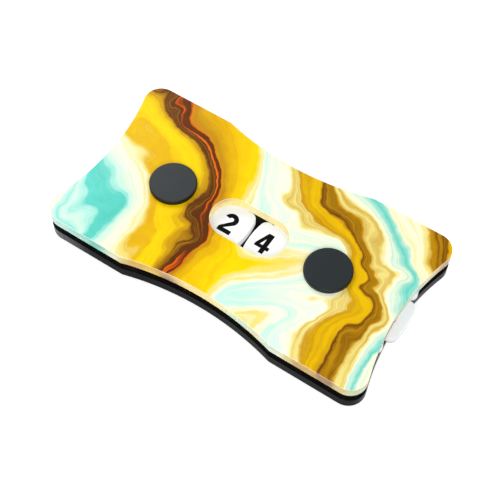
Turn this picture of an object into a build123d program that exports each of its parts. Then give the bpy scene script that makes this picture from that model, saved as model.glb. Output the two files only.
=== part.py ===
from build123d import *
import os
from math import sqrt

# Life counter with two numbered dials between a base plate and a printed clear cover plate.
# Millimetres, +Z up, X along the two dial posts. The origin lies on the surface that the
# counter rests on, under the middle of the plates.

# Plates
pivot_spacing = 45.0
plate_length = 89.6
plate_width = 48.2
plate_corner_radius = 4.4
long_waist_length = 42.8
long_waist_depth = 3.0
short_waist_depth = 2.9
base_thickness = 3.0
cover_thickness = 3.0
print_thickness = 0.15
window_length = 21.2
window_width = 11.3

# Dials
dial_thickness = 2.4
dial_gap = 1.0
dial_end_clearance = 0.1
dial_bore_clearance = 0.08
lobe_count = 10
lobe_corner_radius = 1.8
notch_width = 1.2
notch_depth = 2.6

# Numerals, engraved in the dials and filled with paint
numeral_height = 6.05
numeral_width = 3.7
numeral_stroke = 1.25
numeral_depth = 0.2
tens_numeral_radius = 16.65
units_numeral_radius = 17.6
tens_shown = 2
units_shown = 4

# Binding posts and their screws
head_diameter = 12.0
head_thickness = 1.25
head_edge_radius = 0.3
post_diameter = 5.0
post_hole_clearance = 0.05
post_bore_top_wall = 1.6
screw_diameter = 3.2
screw_clearance = 0.05
screw_tip_chamfer = 0.4
screw_length = 5.8
slot_width = 1.2
slot_length = 8.0
slot_depth = 0.6

# Levels above the resting surface
base_bottom = head_thickness
base_top = base_bottom + base_thickness
dial_bottom = base_top + dial_end_clearance
dial_top = dial_bottom + dial_thickness
cover_bottom = dial_top + dial_end_clearance
cover_top = cover_bottom + cover_thickness
print_top = cover_top + print_thickness

# Worked out from the sizes above
dial_radius = (pivot_spacing - dial_gap) / 2
lobe_angle = 360 / lobe_count
pivots = [(-pivot_spacing / 2, 0), (pivot_spacing / 2, 0)]


# Plate outline: a rectangle hollowed by one large circle on each side, with its corners rounded.
# The short sides' circle touches the corner rounding where the plate is exactly plate_length long.
waist_half = long_waist_length / 2
long_hollow_radius = (waist_half**2 + long_waist_depth**2) / (2 * long_waist_depth)
long_hollow_offset = plate_width / 2 - long_waist_depth + long_hollow_radius
corner_rise = plate_width / 2 - plate_corner_radius
corner_reach = plate_corner_radius - short_waist_depth
short_hollow_radius = (corner_rise**2 + corner_reach**2 - plate_corner_radius**2) / (
    2 * (plate_corner_radius - corner_reach)
)
short_hollow_offset = plate_length / 2 - short_waist_depth + short_hollow_radius
sharp_corner = short_hollow_offset - sqrt(short_hollow_radius**2 - (plate_width / 2) ** 2)

with BuildSketch() as plate_outline:
    Rectangle(2 * sharp_corner, plate_width)
    with Locations((0, long_hollow_offset), (0, -long_hollow_offset)):
        Circle(long_hollow_radius, mode=Mode.SUBTRACT)
    with Locations((short_hollow_offset, 0), (-short_hollow_offset, 0)):
        Circle(short_hollow_radius, mode=Mode.SUBTRACT)
    corners_by_x = plate_outline.vertices().group_by(Axis.X)
    fillet(corners_by_x[0] + corners_by_x[-1], plate_corner_radius)

post_hole_radius = post_diameter / 2 + post_hole_clearance


def plate_profile():
    """Draws the plate outline with its two post holes in the open sketch."""
    add(plate_outline.sketch)
    with Locations(*pivots):
        Circle(post_hole_radius, mode=Mode.SUBTRACT)


def cover_profile():
    """Draws the plate outline with the post holes and the reading window."""
    plate_profile()
    SlotOverall(window_length, window_width, mode=Mode.SUBTRACT)


with BuildPart() as base_plate:
    with BuildSketch(Plane.XY.offset(base_bottom)):
        plate_profile()
    extrude(amount=base_thickness)
base_plate.part.label = "base_plate"

with BuildPart() as cover_plate:
    with BuildSketch(Plane.XY.offset(cover_bottom)):
        cover_profile()
    extrude(amount=cover_thickness)
cover_plate.part.label = "cover_plate"

with BuildPart() as cover_print:
    with BuildSketch(Plane.XY.offset(cover_top)):
        cover_profile()
    extrude(amount=print_thickness)
cover_print.part.label = "cover_print"


# Numerals: plain bold figures drawn with one stroke width, centred on the origin. The outlines
# of the straight figures are in shares of the numeral's width and height.
stroke_half = numeral_stroke / 2
figure_top = numeral_height / 2
figure_right = numeral_width / 2
wide_bowl = figure_right - stroke_half
narrow_bowl_share = 0.9
narrow_bowl = wide_bowl * narrow_bowl_share
upper_centre = figure_top - stroke_half - wide_bowl
upper_narrow_centre = figure_top - stroke_half - narrow_bowl
lower_centre = -upper_centre
top_bar_share = 0.88

one_shares = [
    (-0.02, -0.5), (0.31, -0.5), (0.31, 0.5), (0.06, 0.5),
    (-0.34, 0.32), (-0.34, 0.12), (-0.02, 0.24),
]
four_shares = [
    (-0.11, -0.5), (0.23, -0.5), (0.23, -0.285), (0.43, -0.285), (0.43, -0.11), (0.23, -0.11),
    (0.23, 0.5), (-0.2, 0.5), (-0.64, -0.14), (-0.64, -0.285), (-0.11, -0.285),
]
four_eye_shares = [(-0.11, -0.11), (-0.11, 0.21), (-0.33, -0.11)]
seven_shares = [
    (-0.5, 0.5), (0.5, 0.5), (0.5, 0.34), (0.06, -0.5),
    (-0.3, -0.5), (0.13, 0.3), (-0.5, 0.3),
]


def bend(centre_y, radius, start, sweep):
    """Draws a curved stroke about a centre on the middle line, and returns its two edges."""
    with BuildLine() as edge:
        outer = CenterArc((0, centre_y), radius + stroke_half, start, sweep)
        inner = CenterArc((0, centre_y), radius - stroke_half, start, sweep)
        Line(outer @ 0, inner @ 0)
        Line(outer @ 1, inner @ 1)
    make_face(edge.edges())
    return outer, inner


def ring(centre_y, radius):
    """Draws a closed round stroke as two half turns."""
    for start in (0, 180):
        bend(centre_y, radius, start, 180)


def bar(centre_y, length):
    """Draws a level stroke across the middle line."""
    with Locations((0, centre_y)):
        Rectangle(length, numeral_stroke)


def stem(centre_x):
    """Draws an upright stroke between the centres of the upper and the lower bowl."""
    with Locations((centre_x, 0)):
        Rectangle(numeral_stroke, upper_centre - lower_centre)


def straight_figure(shares, mode=Mode.ADD):
    """Draws a straight-sided outline given in shares of the numeral's width and height."""
    Polygon(*[(x * numeral_width, y * numeral_height) for x, y in shares], align=None, mode=mode)


def zero():
    bend(upper_centre, wide_bowl, 0, 180)
    bend(lower_centre, wide_bowl, 180, 180)
    stem(-wide_bowl)
    stem(wide_bowl)


def one():
    straight_figure(one_shares)


def two():
    outer, inner = bend(upper_centre, wide_bowl, -35, 205)
    bar_top = numeral_stroke - figure_top
    bar(bar_top - stroke_half, numeral_width)
    Polygon(outer @ 0, inner @ 0, (-figure_right, bar_top), (-stroke_half, bar_top), align=None)


def three():
    bend(upper_narrow_centre, narrow_bowl, -90, 250)
    bend(lower_centre, wide_bowl, -165, 255)


def four():
    straight_figure(four_shares)
    straight_figure(four_eye_shares, mode=Mode.SUBTRACT)


def five():
    outer, inner = bend(lower_centre, wide_bowl, -165, 300)
    corner = -figure_right * top_bar_share
    bar(figure_top - stroke_half, -2 * corner)
    Polygon(
        (corner, figure_top), (corner + numeral_stroke, figure_top),
        inner @ 1, (-figure_right, (inner @ 1).Y + stroke_half), align=None,
    )


def six():
    bend(upper_centre, wide_bowl, 20, 160)
    stem(-wide_bowl)
    ring(lower_centre, wide_bowl)


def seven():
    straight_figure(seven_shares)


def eight():
    ring(upper_narrow_centre, narrow_bowl)
    ring(lower_centre, wide_bowl)


def nine():
    bend(lower_centre, wide_bowl, 200, 160)
    stem(wide_bowl)
    ring(upper_centre, wide_bowl)


figures = []
for draw in (zero, one, two, three, four, five, six, seven, eight, nine):
    with BuildSketch() as numeral_sketch:
        draw()
    figures.append(numeral_sketch.sketch)


def numeral_place(pivot, numeral, shown, radius, window_angle):
    """Where a numeral stands on its dial, upright once its lobe is turned to the window."""
    turn = (shown - numeral) * lobe_angle
    spot = Vector(*pivot) + Vector(radius, 0).rotate(Axis.Z, window_angle + turn)
    return Location(spot, (0, 0, turn))


def dial_profile(pivot):
    """Draws a disc parted into lobes by round-bottomed notches."""
    with Locations(pivot):
        Circle(dial_radius)
        with PolarLocations(dial_radius, lobe_count, start_angle=lobe_angle / 2):
            SlotCenterToCenter(2 * notch_depth - notch_width, notch_width, mode=Mode.SUBTRACT)


dials = []
numerals = []
for name, pivot, shown, radius, window_angle in (
    ("tens", pivots[0], tens_shown, tens_numeral_radius, 0),
    ("units", pivots[1], units_shown, units_numeral_radius, 180),
):
    places = [numeral_place(pivot, n, shown, radius, window_angle) for n in range(lobe_count)]
    with BuildPart() as dial:
        with BuildSketch(Plane.XY.offset(dial_bottom)) as profile:
            dial_profile(pivot)
            lobe_corners = profile.vertices().sort_by_distance(pivot)[-2 * lobe_count :]
            fillet(lobe_corners, lobe_corner_radius)
            with Locations(pivot):
                Circle(post_diameter / 2 + dial_bore_clearance, mode=Mode.SUBTRACT)
        extrude(amount=dial_thickness)
        with BuildSketch(Plane.XY.offset(dial_top - numeral_depth)):
            for place, face in zip(places, figures):
                with Locations(place):
                    add(face)
        extrude(amount=numeral_depth, mode=Mode.SUBTRACT)
    dial.part.label = f"{name}_dial"
    dials.append(dial)
    for n, (place, face) in enumerate(zip(places, figures)):
        with BuildPart() as numeral:
            with BuildSketch(Plane.XY.offset(dial_top - numeral_depth)):
                with Locations(place):
                    add(face)
            extrude(amount=numeral_depth)
        numeral.part.label = f"{name}_numeral_{n}"
        numerals.append(numeral)


# Binding posts: a smooth round head on the print and a hollow barrel that ends on the head of
# the screw, so that the two heads hold the plates apart just far enough for the dials to turn.
post_bore_top = print_top - post_bore_top_wall
posts = []
screws = []
for name, pivot in zip(("left", "right"), pivots):
    with BuildPart() as post:
        with BuildSketch(Plane.XY.offset(print_top)):
            with Locations(pivot):
                Circle(head_diameter / 2)
        extrude(amount=head_thickness)
        fillet(post.edges().group_by(Axis.Z)[-1], head_edge_radius)
        with BuildSketch(Plane.XY.offset(base_bottom)):
            with Locations(pivot):
                Circle(post_diameter / 2)
        extrude(amount=print_top - base_bottom)
        with BuildSketch(Plane.XY.offset(base_bottom)):
            with Locations(pivot):
                Circle(screw_diameter / 2 + screw_clearance)
        extrude(amount=post_bore_top - base_bottom, mode=Mode.SUBTRACT)
    post.part.label = f"{name}_binding_post"
    posts.append(post)

    with BuildPart() as screw:
        with BuildSketch():
            with Locations(pivot):
                Circle(head_diameter / 2)
        extrude(amount=head_thickness)
        fillet(screw.edges().group_by(Axis.Z)[0], head_edge_radius)
        with BuildSketch(Plane.XY.offset(base_bottom)):
            with Locations(pivot):
                Circle(screw_diameter / 2)
        extrude(amount=screw_length)
        chamfer(screw.edges().group_by(Axis.Z)[-1], screw_tip_chamfer)
        with BuildSketch():
            with Locations(pivot):
                SlotOverall(slot_length, slot_width)
        extrude(amount=slot_depth, mode=Mode.SUBTRACT)
    screw.part.label = f"{name}_binding_screw"
    screws.append(screw)


os.makedirs("parts", exist_ok=True)
for piece in [base_plate, cover_plate, cover_print, *dials, *numerals, *posts, *screws]:
    export_step(piece.part, f"parts/{piece.part.label}.step")
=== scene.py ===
import math
import bmesh
import bpy
from mathutils import Euler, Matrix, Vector


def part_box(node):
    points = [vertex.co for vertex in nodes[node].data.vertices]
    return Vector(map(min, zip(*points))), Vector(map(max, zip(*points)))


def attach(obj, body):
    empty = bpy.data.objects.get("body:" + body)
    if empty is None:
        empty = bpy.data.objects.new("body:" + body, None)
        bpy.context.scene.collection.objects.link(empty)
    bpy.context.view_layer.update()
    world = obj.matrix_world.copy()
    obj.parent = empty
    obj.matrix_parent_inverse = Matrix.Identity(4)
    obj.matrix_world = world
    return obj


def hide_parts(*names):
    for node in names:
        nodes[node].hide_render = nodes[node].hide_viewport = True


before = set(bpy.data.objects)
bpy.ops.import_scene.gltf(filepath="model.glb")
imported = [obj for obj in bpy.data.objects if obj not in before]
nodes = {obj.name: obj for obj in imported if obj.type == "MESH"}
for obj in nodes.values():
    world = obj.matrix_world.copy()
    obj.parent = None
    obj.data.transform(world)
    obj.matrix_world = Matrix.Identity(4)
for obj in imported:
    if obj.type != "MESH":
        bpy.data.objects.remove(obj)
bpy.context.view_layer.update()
MM = 0.001


# Base plate
# Black gloss sheet acrylic, 3 mm thick, laser-cut to the waisted outline. The faces keep the polish of
# the cast sheet. The cut edge is duller, with fine upright lines, and has a painted reflection, a
# lighter grey patch, round one corner.

class Term:
    """A value that varies over a surface. Sums on it add Math nodes to its finish."""

    def __init__(self, finish, socket):
        self.finish = finish
        self.socket = socket

    def maths(self, operation, *others):
        terms = dict(enumerate((self, *others)))
        return self.finish.node("ShaderNodeMath", {"operation": operation}, terms)

    def __add__(self, other):
        return self.maths("ADD", other)

    def __radd__(self, other):
        return self.maths("ADD", other)

    def __mul__(self, other):
        return self.maths("MULTIPLY", other)

    def __rmul__(self, other):
        return self.maths("MULTIPLY", other)

    def __sub__(self, other):
        return self.maths("SUBTRACT", other)

    def __rsub__(self, other):
        return self.finish.node("ShaderNodeMath", {"operation": "SUBTRACT"}, {0: other, 1: self})

    def __abs__(self):
        return self.maths("ABSOLUTE")


class Finish:
    """A material whose nodes are written as plain calls."""

    def __init__(self, name):
        self.material = bpy.data.materials.new(name)
        self.material.use_nodes = True
        self.tree = self.material.node_tree
        self.tree.nodes.clear()
        self.output = self.tree.nodes.new("ShaderNodeOutputMaterial")
        metres = self.node("ShaderNodeTexCoord", output="Object")
        to_millimetres = {0: metres, "Scale": 1 / MM}
        self.place = self.node("ShaderNodeVectorMath", {"operation": "SCALE"}, to_millimetres)
        self.facing = self.node("ShaderNodeTexCoord", output="Normal")

    def node(self, kind, settings=None, values=None, output=0):
        """Adds a node: its settings first, then the values or links of its sockets."""
        made = self.tree.nodes.new(kind)
        for key, setting in (settings or {}).items():
            if key == "stops":
                while len(made.color_ramp.elements) < len(setting):
                    made.color_ramp.elements.new(1.0)
                for element, (position, colour) in zip(made.color_ramp.elements, setting):
                    element.position = position
                    element.color = (*colour, 1.0)
            else:
                setattr(made, key, setting)
        for key, value in (values or {}).items():
            if isinstance(value, Term):
                self.tree.links.new(value.socket, made.inputs[key])
            elif isinstance(value, tuple) and len(value) == 3 and made.inputs[key].type == "RGBA":
                made.inputs[key].default_value = (*value, 1.0)
            else:
                made.inputs[key].default_value = value
        return Term(self, made.outputs[output])

    def split(self, vector):
        """The three numbers of a vector."""
        return [self.node("ShaderNodeSeparateXYZ", None, {0: vector}, axis) for axis in ("X", "Y", "Z")]

    def point(self, x=0.0, y=0.0, z=0.0):
        """A vector from three numbers."""
        return self.node("ShaderNodeCombineXYZ", None, {"X": x, "Y": y, "Z": z})

    def noise(self, vector, scale, detail=2.0, roughness=0.5, output="Fac"):
        """Soft noise, with scale in bumps per millimetre."""
        values = {"Vector": vector, "Scale": scale, "Detail": detail, "Roughness": roughness}
        return self.node("ShaderNodeTexNoise", None, values, output)

    def step(self, value, low, high):
        """Rises smoothly from 0 at low to 1 at high."""
        settings = {"interpolation_type": "SMOOTHSTEP"}
        values = {"Value": value, "From Min": low, "From Max": high}
        return self.node("ShaderNodeMapRange", settings, values, "Result")

    def distance(self, point):
        """The distance in millimetres from a point."""
        points = {0: self.place, 1: point}
        return self.node("ShaderNodeVectorMath", {"operation": "DISTANCE"}, points, "Value")

    def level(self, low=0.4, high=0.8):
        """1 on faces that lie level, up or down, and 0 on upright walls."""
        return self.step(abs(self.split(self.facing)[2]), low, high)

    def upright_lines(self, scale, detail):
        """The fine lines that a laser leaves down a cut edge, as a height in 0 to 1."""
        x, y, z = self.split(self.place)
        return self.noise(self.point(x, y, z * 0.04), scale, detail)

    def mix(self, share, first, second, blend="MIX"):
        """Blends two colours."""
        settings = {"data_type": "RGBA", "blend_type": blend}
        return self.node("ShaderNodeMix", settings, {0: share, 6: first, 7: second}, 2)

    def bump(self, height, strength, distance):
        """Turns a height in 0 to 1 into a bent normal, with distance in metres."""
        values = {"Height": height, "Strength": strength, "Distance": distance}
        return self.node("ShaderNodeBump", None, values, "Normal")

    def surface(self, **sockets):
        """The principled surface, with underscores in the sockets' names for spaces."""
        values = {name.replace("_", " "): value for name, value in sockets.items()}
        return self.node("ShaderNodeBsdfPrincipled", None, values)

    def finish(self, shader):
        """Connects the last shader and returns the material."""
        self.tree.links.new(shader.socket, self.output.inputs["Surface"])
        return self.material


def rounded_copy(node, edge_radius, body, is_rim=lambda edge: True):
    """A copy of a CAD piece with its loose triangles joined and its rims rounded, in its place.

    A wall is creased where it meets its rim, so that it is shaded as straight as it is cut.
    """
    weld_distance = 1e-7
    flat_angle = math.radians(0.2)
    sharp_angle = math.radians(50)
    shape = bmesh.new()
    shape.from_mesh(nodes[node].data)
    bmesh.ops.remove_doubles(shape, verts=shape.verts, dist=weld_distance)
    bmesh.ops.dissolve_limit(shape, angle_limit=flat_angle, verts=shape.verts, edges=shape.edges)
    seams = [edge for edge in shape.edges if len(edge.link_faces) == 2]
    rims = [edge for edge in seams if edge.calc_face_angle() > sharp_angle and is_rim(edge)]
    bmesh.ops.bevel(
        shape, geom=rims, offset=edge_radius, offset_type="OFFSET", affect="EDGES",
        segments=3, profile=0.5, material=-1, clamp_overlap=True,
    )
    for face in shape.faces:
        is_level = abs(face.normal.z) >= 0.999
        face.smooth = not is_level
    walls = {face for face in shape.faces if abs(face.normal.z) < 0.05}
    for edge in shape.edges:
        meets_rim = len(walls.intersection(edge.link_faces)) == 1
        edge.smooth = not meets_rim
    mesh = bpy.data.meshes.new(node + "_dressed")
    shape.to_mesh(mesh)
    shape.free()
    piece = bpy.data.objects.new(node + "_dressed", mesh)
    bpy.context.scene.collection.objects.link(piece)
    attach(piece, body)
    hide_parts(node)
    return piece


acrylic_ior = 1.49
base_edge_radius = 0.12 * MM
base_colour = (0.0035, 0.0035, 0.0038)
rubbed_colour = (0.014, 0.014, 0.015)
base_edge_colour = (0.003, 0.0037, 0.0045)
# Painted reflection: the cut edge is painted a lighter grey round this point, at one corner.
painted_reflection_centre = (-44.8, -22.0, 2.5)
painted_reflection_colour = (0.15, 0.16, 0.178)
base_polish = 0.06
base_edge_dullness = 0.16
base_shine = 0.019


def black_acrylic():
    f = Finish("black_acrylic")
    cut_edge = 1 - f.level()
    lines = f.upright_lines(scale=2.2, detail=3.0)
    dust = f.noise(f.place, scale=6.0)
    rub = f.noise(f.place, scale=0.25, detail=4.0, roughness=0.65)
    worn = f.step(rub, 0.5, 0.75) * 0.5 + f.step(dust, 0.62, 0.8) * 0.3
    face = f.mix(worn, base_colour, rubbed_colour)
    # Painted reflection: a lighter grey on the cut edge near one corner.
    away_from_painted_reflection = f.step(f.distance(painted_reflection_centre), 4.5, 15.0)
    edge = f.mix(away_from_painted_reflection, painted_reflection_colour, base_edge_colour)
    height = lines * cut_edge + dust * 0.02
    return f.finish(f.surface(
        Base_Color=f.mix(cut_edge * lines, face, edge),
        Roughness=base_polish + 0.05 * f.step(rub, 0.45, 0.7) + cut_edge * base_edge_dullness,
        IOR=acrylic_ior, Specular_IOR_Level=base_shine,
        Normal=f.bump(height, strength=0.2, distance=0.02 * MM),
    ))


base = rounded_copy("base_plate", base_edge_radius, "frame")
base.data.materials.append(black_acrylic())


# Dials
# Two ten-lobed wheels laser-cut from opal white acrylic, which run on the posts between the plates.
# Their numerals are engraved 0.2 mm deep and filled with black paint, level with the face.

def srgb(red, green, blue):
    """A colour given as 0 to 255 on a screen, as the light values that shaders take."""
    shares = [channel / 255 for channel in (red, green, blue)]
    return tuple(c / 12.92 if c <= 0.04045 else ((c + 0.055) / 1.055) ** 2.4 for c in shares)


dial_edge_radius = 0.12 * MM
dial_colour = srgb(206, 210, 214)
scuffed_colour = srgb(192, 196, 200)
dial_edge_colour = srgb(92, 94, 96)
# Painted light: the sheet's face glows a little and its cut edge glows strongly, less at its foot,
# which paints a shade there. The cut edge's own colour is a mid grey, so most of its brightness is this
# painted glow.
painted_face_light = (0.11, 0.112, 0.116)
painted_edge_light = (0.60, 0.615, 0.63)
painted_foot_light = (0.17, 0.175, 0.18)
dial_polish = 0.16
dial_edge_dullness = 0.2
dial_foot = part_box("tens_dial")[0].z / MM
foot_height = 0.9
paint_colour = (0.001, 0.001, 0.001)
worn_paint_colour = (0.004, 0.004, 0.004)
paint_roughness = 0.38
paint_shine = 0.05


def white_acrylic():
    f = Finish("white_acrylic")
    cut_edge = 1 - f.level()
    z = f.split(f.place)[2]
    lines = f.upright_lines(scale=2.2, detail=3.0)
    rub = f.noise(f.place, scale=0.3, detail=5.0, roughness=0.65)
    scuffs = f.noise(f.place, scale=1.2, detail=4.0, roughness=0.7)
    face = f.mix(f.step(scuffs, 0.55, 0.8) * 0.12, dial_colour, scuffed_colour)
    # Painted light on the cut edge, fading to a painted shade towards its foot.
    painted_glow = f.mix(f.step(z, dial_foot, dial_foot + foot_height), painted_foot_light, painted_edge_light)
    return f.finish(f.surface(
        Base_Color=f.mix(cut_edge, face, dial_edge_colour),
        Roughness=dial_polish + 0.14 * f.step(rub, 0.45, 0.7) + cut_edge * dial_edge_dullness,
        IOR=acrylic_ior, Emission_Color=f.mix(cut_edge, painted_face_light, painted_glow), Emission_Strength=1.0,
        Normal=f.bump(lines * cut_edge + scuffs * 0.05, strength=0.3, distance=0.03 * MM),
    ))


def numeral_paint():
    f = Finish("numeral_paint")
    grain = f.noise(f.place, scale=6.0, detail=4.0, roughness=0.6)
    wear = f.noise(f.place, scale=1.1, detail=3.0, roughness=0.6)
    return f.finish(f.surface(
        Base_Color=f.mix(f.step(wear, 0.6, 0.85) * 0.3, paint_colour, worn_paint_colour),
        Roughness=paint_roughness + 0.12 * grain, IOR=1.5, Specular_IOR_Level=paint_shine,
        Normal=f.bump(grain, strength=0.2, distance=0.01 * MM),
    ))


def spans_the_sheet(edge):
    """True for a rim of the sheet, and false for a rim of the shallow engraving."""
    walls = [face for face in edge.link_faces if abs(face.normal.z) < 0.1]
    depths = [max(v.co.z for v in wall.verts) - min(v.co.z for v in wall.verts) for wall in walls]
    return bool(depths) and max(depths) > 1 * MM


dial_material = white_acrylic()
paint_material = numeral_paint()
for side in ("tens", "units"):
    dial = rounded_copy(side + "_dial", dial_edge_radius, side + "_wheel", spans_the_sheet)
    dial.data.materials.append(dial_material)
    for number in range(10):
        numeral = nodes[f"{side}_numeral_{number}"]
        numeral.data.materials.clear()
        numeral.data.materials.append(paint_material)


# Cover plate
# Clear cast acrylic, 3 mm thick, cut to the base plate's outline with the reading window in its
# middle. Its edges are clear enough to show the white primer of the print from below, where the print
# glows with a painted light.

cover_edge_radius = 0.12 * MM
cover_tint = (0.99, 0.985, 0.975)
cover_polish = 0.02
cover_edge_dullness = 0.33
cover_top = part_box("cover_plate")[1].z
# The sheet's top reaches this far into the ink, so that no gap shows between them.
print_grip = 0.02 * MM


def clear_acrylic():
    f = Finish("clear_acrylic")
    cut_edge = 1 - f.level()
    lines = f.upright_lines(scale=1.3, detail=2.0)
    return f.finish(f.surface(
        Base_Color=cover_tint, Roughness=cover_polish + cut_edge * cover_edge_dullness,
        IOR=acrylic_ior, Transmission_Weight=1.0,
        Normal=f.bump(lines * cut_edge, strength=0.08, distance=0.02 * MM),
    ))


def under_the_print(edge):
    """True for a rim on the cover plate's lower face."""
    return max(v.co.z for v in edge.verts) < cover_top - 1 * MM


cover = rounded_copy("cover_plate", cover_edge_radius, "frame", under_the_print)
cover.visible_shadow = False
for vertex in cover.data.vertices:
    if vertex.co.z > cover_top - 0.5 * cover_edge_radius:
        vertex.co.z += print_grip
cover.data.materials.append(clear_acrylic())


# Print
# Ink printed on the cover plate's top face: white primer, colour, then a gloss coat. The design is
# plain marbled paint, in ribbons of turquoise, cream, gold and umber that cross the plate.
# The ink's underside and edges glow with a painted light, brighter and paler round the window.

turquoise = srgb(98, 212, 198)
turquoise_pale = srgb(190, 240, 226)
cream = srgb(253, 250, 222)
straw = srgb(240, 224, 132)
lemon = srgb(252, 216, 0)
gold = srgb(230, 182, 4)
ochre = srgb(196, 144, 12)
umber = srgb(98, 50, 8)
coral = srgb(232, 92, 16)
primer = srgb(250, 236, 228)
ribbons = [
    (0.03, lemon), (0.10, straw), (0.12, cream), (0.17, turquoise_pale), (0.20, turquoise),
    (0.24, turquoise), (0.26, turquoise_pale), (0.30, cream), (0.34, cream), (0.37, straw),
    (0.40, gold), (0.45, lemon), (0.505, ochre), (0.525, umber), (0.54, umber), (0.545, coral),
    (0.555, ochre), (0.59, gold), (0.64, lemon), (0.67, straw), (0.69, cream),
    (0.72, turquoise_pale), (0.75, cream), (0.77, straw), (0.79, ochre), (0.82, gold),
    (0.85, ochre), (0.87, umber), (0.90, ochre), (0.93, straw), (0.95, cream), (1.00, turquoise),
]
ribbon_shades = [(0.35, (0.3, 0.3, 0.3)), (0.65, (0.62, 0.62, 0.62))]
first_ribbon = 0.128
flow_along = 0.008
flow_across = 0.005
brush_reach = 1.0
pour_slice = 9.0
pour_reach = 60.0
stir_reach = 22.0
thread_count = 26.0
thread_reach = 0.16
shade_slice = 5.0
ink_share = (0.75, 0.75, 0.75)
ink_ior = 1.5
ink_shine = 0.05
gloss_coat = 0.24
# A painted light from the white dials below: the ink's underside is painted paler, more even and
# brighter out to the first of these radii, and is as elsewhere from the second.
window_reach = (18.2, 23.2)
painted_underside_light = 0.66


def marbled_paint(f):
    """The marbled ribbons of paint, over the plate's place in millimetres."""

    def pushed(place, scale, detail, reach):
        """A place pushed about by a noise, by up to the reach in millimetres."""
        push = f.noise(place, scale, detail, roughness=0.4, output="Color")
        values = {0: push, 1: (reach, reach, 0.0), 2: place}
        return f.node("ShaderNodeVectorMath", {"operation": "MULTIPLY_ADD"}, values)

    x, y, _ = f.split(pushed(f.place, scale=0.5, detail=3.0, reach=brush_reach))
    poured = pushed(f.point(x, y, pour_slice), scale=0.024, detail=0.5, reach=pour_reach)
    stirred = pushed(poured, scale=0.07, detail=1.5, reach=stir_reach)
    along, across, _ = f.split(stirred)
    flow = flow_along * along + flow_across * across + first_ribbon
    thread_place = f.point(flow * thread_count, (x + y) * 0.01)
    threads = f.noise(thread_place, scale=1.0, detail=5.0, roughness=0.65)
    flow = (flow + (threads - 0.5) * thread_reach).maths("PINGPONG", 1.0)
    paint = f.node("ShaderNodeValToRGB", {"stops": ribbons}, {"Fac": flow})
    stroke_place = f.point(threads * 6.0, x * 0.3, y * 0.3)
    strokes = f.noise(stroke_place, scale=1.1, detail=3.0, roughness=0.65)
    clouds = f.noise(f.point(x, y, shade_slice), scale=0.05, detail=3.0)
    depth = 0.6 * clouds + 0.4 * strokes
    shade = f.node("ShaderNodeValToRGB", {"stops": ribbon_shades}, {"Fac": depth})
    paint = f.mix(0.8, paint, shade, "SOFT_LIGHT")
    return f.mix(1.0, paint, ink_share, "MULTIPLY")


def printed_ink():
    f = Finish("printed_ink")
    paint = marbled_paint(f)
    up = f.split(f.facing)[2]
    top = f.step(up, 0.4, 0.8)
    bottom = f.step(-1.0 * up, 0.4, 0.8)
    grain = f.noise(f.place, scale=3.0, detail=3.0)
    # Painted light round the window: near it the underside is painted paler and glows brighter.
    painted_window_light = 1 - f.step(f.distance((0.0, 0.0, 0.0)), *window_reach)
    paint_in_window_light = f.mix(0.8 * painted_window_light, paint, straw)
    underside = f.mix(0.03 + 0.17 * painted_window_light, paint_in_window_light, primer)
    below = f.mix(bottom, f.mix(0.5, paint, primer), underside)
    # Painted glow: the ink's underside and edges glow though no lamp lights them.
    painted_glow = (painted_underside_light + 0.1 * painted_window_light) * (1 - top)
    return f.finish(f.surface(
        Base_Color=f.mix(top, below, paint), Roughness=gloss_coat + 0.06 * grain,
        IOR=ink_ior, Specular_IOR_Level=ink_shine,
        Emission_Color=f.mix(painted_glow, (0.0, 0.0, 0.0), below), Emission_Strength=1.0,
        Normal=f.bump(grain, strength=0.1, distance=0.01 * MM),
    ))


ink = nodes["cover_print"]
ink.data.materials.clear()
ink.data.materials.append(printed_ink())


# Binding posts and screws
# Moulded black nylon, satin all over and rubbed a little grey on the flat faces. Each post's
# smooth round head lies on the print, and the slotted screw closes it from below.

head_colour = srgb(16, 25, 28)
rubbed_head_colour = srgb(24, 32, 35)
head_side_colour = (0.002, 0.002, 0.003)
nylon_roughness = 0.32
nylon_shine = 0.25


def black_nylon():
    f = Finish("black_nylon")
    grain = f.noise(f.place, scale=7.0, detail=3.0, roughness=0.6)
    cloudy = f.noise(f.place, scale=0.35, detail=3.0)
    face = f.mix(cloudy * 0.4, head_colour, rubbed_head_colour)
    return f.finish(f.surface(
        Base_Color=f.mix(f.level(0.6, 0.95), head_side_colour, face),
        Roughness=nylon_roughness + 0.1 * grain, IOR=1.5, Specular_IOR_Level=nylon_shine,
        Normal=f.bump(grain, strength=0.25, distance=0.015 * MM),
    ))


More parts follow.
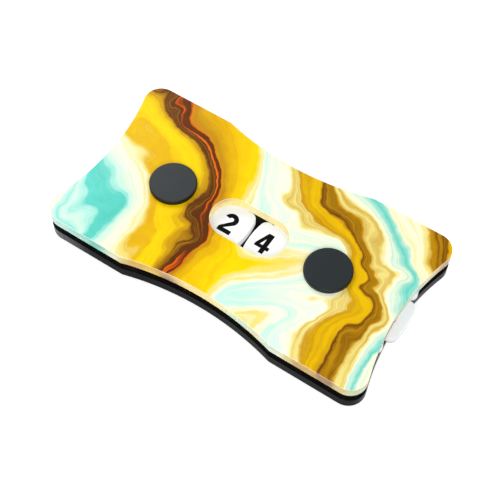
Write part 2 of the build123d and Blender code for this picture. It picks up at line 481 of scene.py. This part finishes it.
nylon = black_nylon()
for side in ("left", "right"):
    for part in ("post", "screw"):
        piece = nodes[f"{side}_binding_{part}"]
        piece.data.materials.clear()
        piece.data.materials.append(nylon)


# Floor, light and camera
# A plain white table in bright even light, with two soft lamps: a large one in front of the
# counter, and a smaller one behind it on the left, which makes the left head the paler one.

floor_half_width = 1.5
floor_colour = (0.45, 0.45, 0.45)
floor_glow = 0.62
white = (1.0, 1.0, 1.0)
room_light = 0.7

floor_mesh = bpy.data.meshes.new("floor")
floor_shape = bmesh.new()
bmesh.ops.create_grid(floor_shape, x_segments=1, y_segments=1, size=floor_half_width)
floor_shape.to_mesh(floor_mesh)
floor_shape.free()
floor = bpy.data.objects.new("floor", floor_mesh)
bpy.context.scene.collection.objects.link(floor)
floor_finish = Finish("floor_white")
floor_mesh.materials.append(floor_finish.finish(floor_finish.surface(
    Base_Color=floor_colour, Roughness=0.7, Emission_Color=white, Emission_Strength=floor_glow,
)))

world = bpy.data.worlds.new("studio")
world.use_nodes = True
background = world.node_tree.nodes["Background"].inputs
background["Color"].default_value = (*white, 1.0)
background["Strength"].default_value = room_light
bpy.context.scene.world = world


def softbox(name, place, size, power):
    """A square soft lamp that faces the counter."""
    light = bpy.data.lights.new(name, "AREA")
    light.shape = "SQUARE"
    light.size = size
    light.energy = power
    lamp = bpy.data.objects.new(name, light)
    lamp.location = place
    lamp.rotation_euler = (-Vector(place)).to_track_quat("-Z", "Y").to_euler()
    bpy.context.scene.collection.objects.link(lamp)


softbox("back_softbox", place=(-0.55, 0.32, 0.545), size=0.45, power=4.0)
softbox("front_softbox", place=(0.35, -0.6, 0.75), size=0.6, power=7.5)

camera_place = Vector((80.6, -127.98, 248.64)) * MM
camera_turn = Euler([math.radians(angle) for angle in (31.73, -0.288, 33.484)])
camera_data = bpy.data.cameras.new("camera")
camera_data.lens = 87.11
camera_data.sensor_width = 36.0
camera_data.clip_start = 0.01
camera = bpy.data.objects.new("camera", camera_data)
camera.location = camera_place
camera.rotation_euler = camera_turn
bpy.context.scene.collection.objects.link(camera)
bpy.context.scene.camera = camera
bpy.context.scene.view_settings.view_transform = "Standard"
